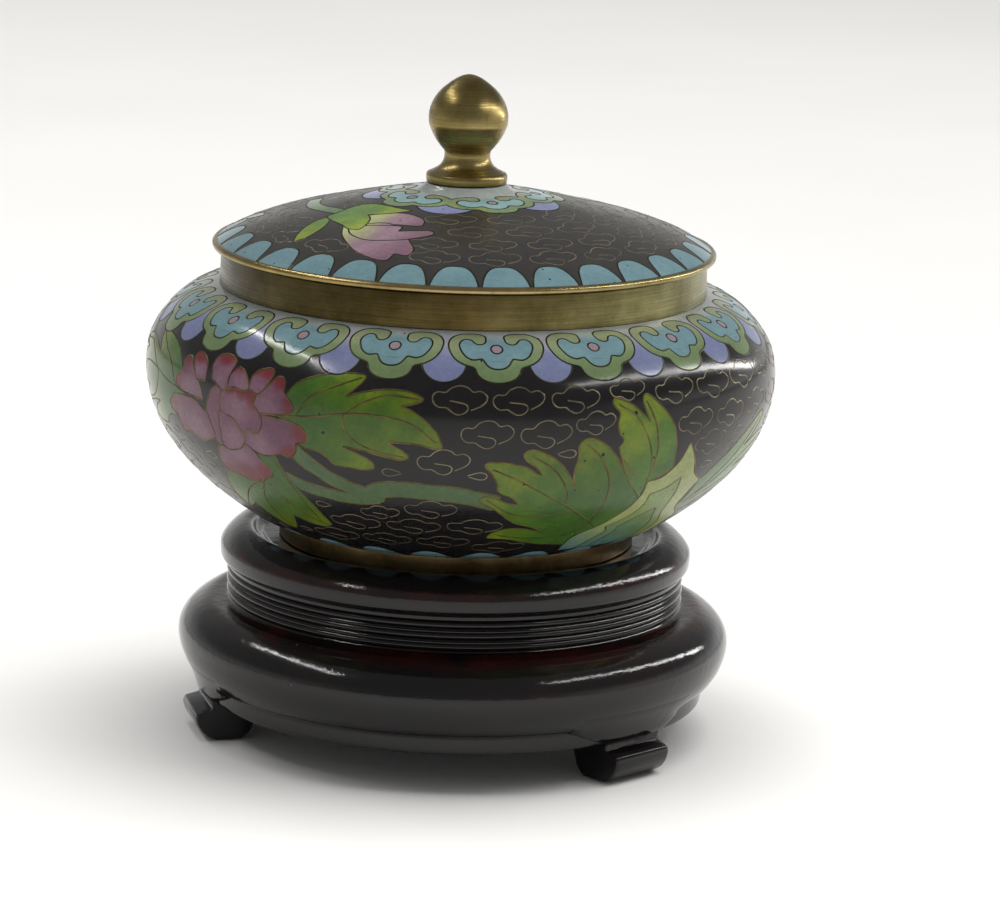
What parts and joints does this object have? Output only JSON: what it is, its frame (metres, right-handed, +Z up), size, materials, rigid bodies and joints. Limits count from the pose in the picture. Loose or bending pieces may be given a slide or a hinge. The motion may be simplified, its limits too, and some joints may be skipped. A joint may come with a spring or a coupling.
{
  "type": "cloisonne lidded bowl on a wooden stand",
  "caption": "Round cloisonne bowl with a lift-off domed lid, brass neck and ball finial, resting in a turned dark wood stand on bracket feet.",
  "frame": {"origin": "middle of the circle that the three feet stand on, at the height of the surface they rest on", "axes": "+Z up through the knob, -Y towards the front, +X to the viewer's right"},
  "size_m": [0.1062, 0.1062, 0.1119],
  "materials": {
    "stand_lacquer": "gloss",
    "foot_brass": "satin",
    "bowl_enamel": "gloss",
    "neck_brass": "satin",
    "rim_brass": "satin",
    "lid_enamel": "gloss",
    "knob_brass": "satin"
  },
  "bodies": {
    "root": {"wooden_stand": "stand_lacquer", "foot_ring": "foot_brass", "bowl_body": "bowl_enamel", "neck_ring": "neck_brass", "lid_rim": "rim_brass", "lid_dome": "lid_enamel", "lid_knob": "knob_brass"}
  },
  "joints": []
}
